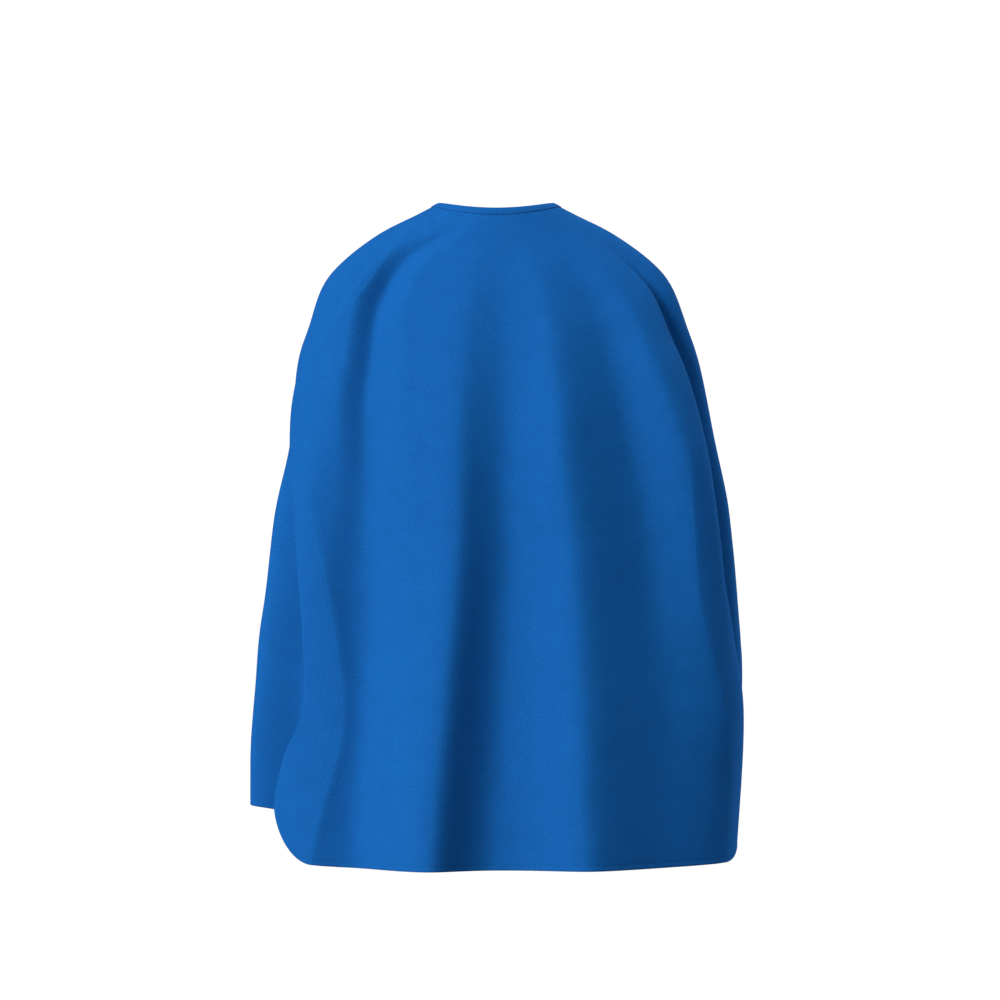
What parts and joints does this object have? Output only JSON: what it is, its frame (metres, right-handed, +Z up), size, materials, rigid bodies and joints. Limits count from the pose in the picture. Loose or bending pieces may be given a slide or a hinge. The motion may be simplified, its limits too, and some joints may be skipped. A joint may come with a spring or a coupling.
{
  "type": "superhero cape",
  "caption": "Long flared cape of blue knit cloth that hangs from a bound neck edge over the shoulders and back, and closes at the throat with a peel-open hook-and-loop tab.",
  "frame": {"origin": "middle of the neck opening, level with the nape of the neck", "axes": "+Z up along the wearer's neck, -Y the way the wearer faces, +X towards the wearer's left; the cloth hangs down -Z, with its back at +Y"},
  "size_m": [0.688, 0.4216, 0.9206],
  "materials": {
    "cape_cloth": "matt, slightly heathered polyester double knit",
    "binding_cloth": "the same double knit, cut as a narrow strip",
    "stay_tape": "plain woven cotton tape",
    "thread": "spun polyester sewing thread",
    "hook_tape": "nylon hook tape",
    "loop_tape": "brushed nylon loop tape",
    "label_cloth": "white woven satin ribbon, blank"
  },
  "bodies": {
    "cape": {"cape_panel": "cape_cloth", "neck_binding": "binding_cloth", "neck_stay_tape": "stay_tape", "neck_binding_thread": "thread", "hem_thread": "thread", "front_edge_thread_left": "thread", "front_edge_thread_right": "thread", "loop_strip": "loop_tape", "loop_strip_thread": "thread"},
    "throat_tab": {"closure_tab": "binding_cloth", "closure_tab_seam_thread": "thread", "hook_strip": "hook_tape", "hook_strip_thread": "thread"},
    "label": {"care_label": "label_cloth", "care_label_thread": "thread"}
  },
  "joints": [
    {"name": "tab_peel", "type": "hinge", "parent": "cape", "child": "throat_tab", "pos_m": [0.00675, -0.07247, -0.06331], "axis": [-0.0709, 0.6801, 0.7297], "range_deg": [0, 120]},
    {"name": "label_swing", "type": "hinge", "parent": "cape", "child": "label", "pos_m": [0, 0.0651, -0.0108], "axis": [-1, 0, 0], "range_deg": [-10, 70]}
  ]
}
